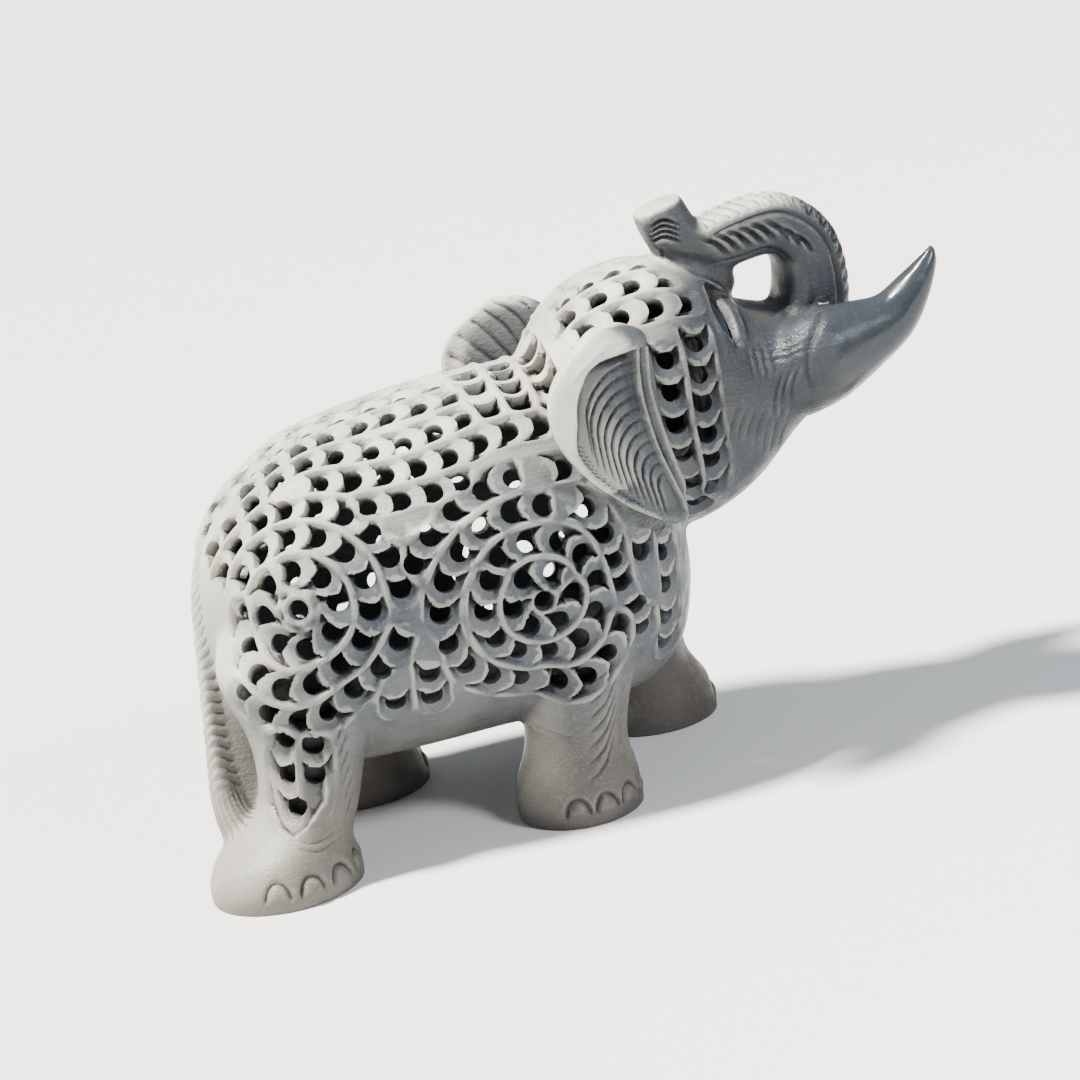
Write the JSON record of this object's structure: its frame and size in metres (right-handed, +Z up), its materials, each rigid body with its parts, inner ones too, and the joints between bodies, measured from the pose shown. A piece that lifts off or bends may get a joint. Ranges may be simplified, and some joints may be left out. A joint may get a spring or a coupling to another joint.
{
  "type": "stone elephant carving",
  "caption": "Hollow carved soapstone elephant, trunk raised and curled back to the brow, sides drilled through in spiral rows, standing on four feet.",
  "frame": {"origin": "on the ground under the middle of the carving's box", "axes": "+X towards the head along the body, +Y to the elephant's left, +Z up"},
  "size_m": [0.2324, 0.1046, 0.1595],
  "materials": {
    "soapstone": "carved grey-green soapstone, satin where smooth, pale where worn or cut"
  },
  "bodies": {
    "root": {"stone_elephant": "soapstone"}
  },
  "joints": []
}
